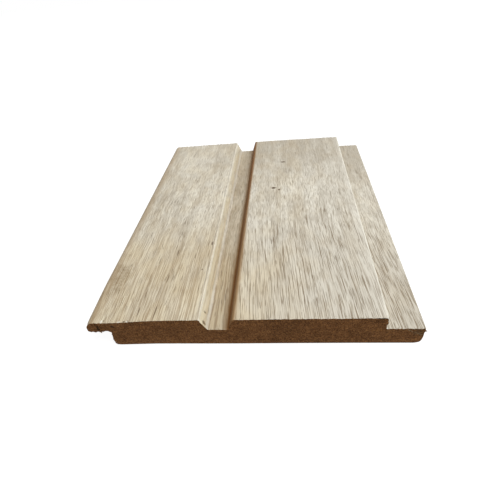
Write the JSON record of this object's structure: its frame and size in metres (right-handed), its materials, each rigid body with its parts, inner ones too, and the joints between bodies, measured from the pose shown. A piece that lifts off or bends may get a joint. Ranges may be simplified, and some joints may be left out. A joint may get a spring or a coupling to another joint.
{
  "type": "shiplap cladding board",
  "caption": "Short length of double shiplap timber cladding with a channelled face, a rounded upper lap over a rebate, and a thicker lower lap.",
  "frame": {"origin": "under the middle of the board, on the plane of its flat back", "axes": "+X across the board towards the lower lap, +Y along the board and its grain, +Z out of the back through the channelled face"},
  "size_m": [0.145, 0.17, 0.018],
  "materials": {
    "timber": "planed hardwood, unfinished, pale weathered face with fine grey-brown pores and dark brown sawn ends"
  },
  "bodies": {
    "root": {"cladding_board": "timber"}
  },
  "joints": []
}
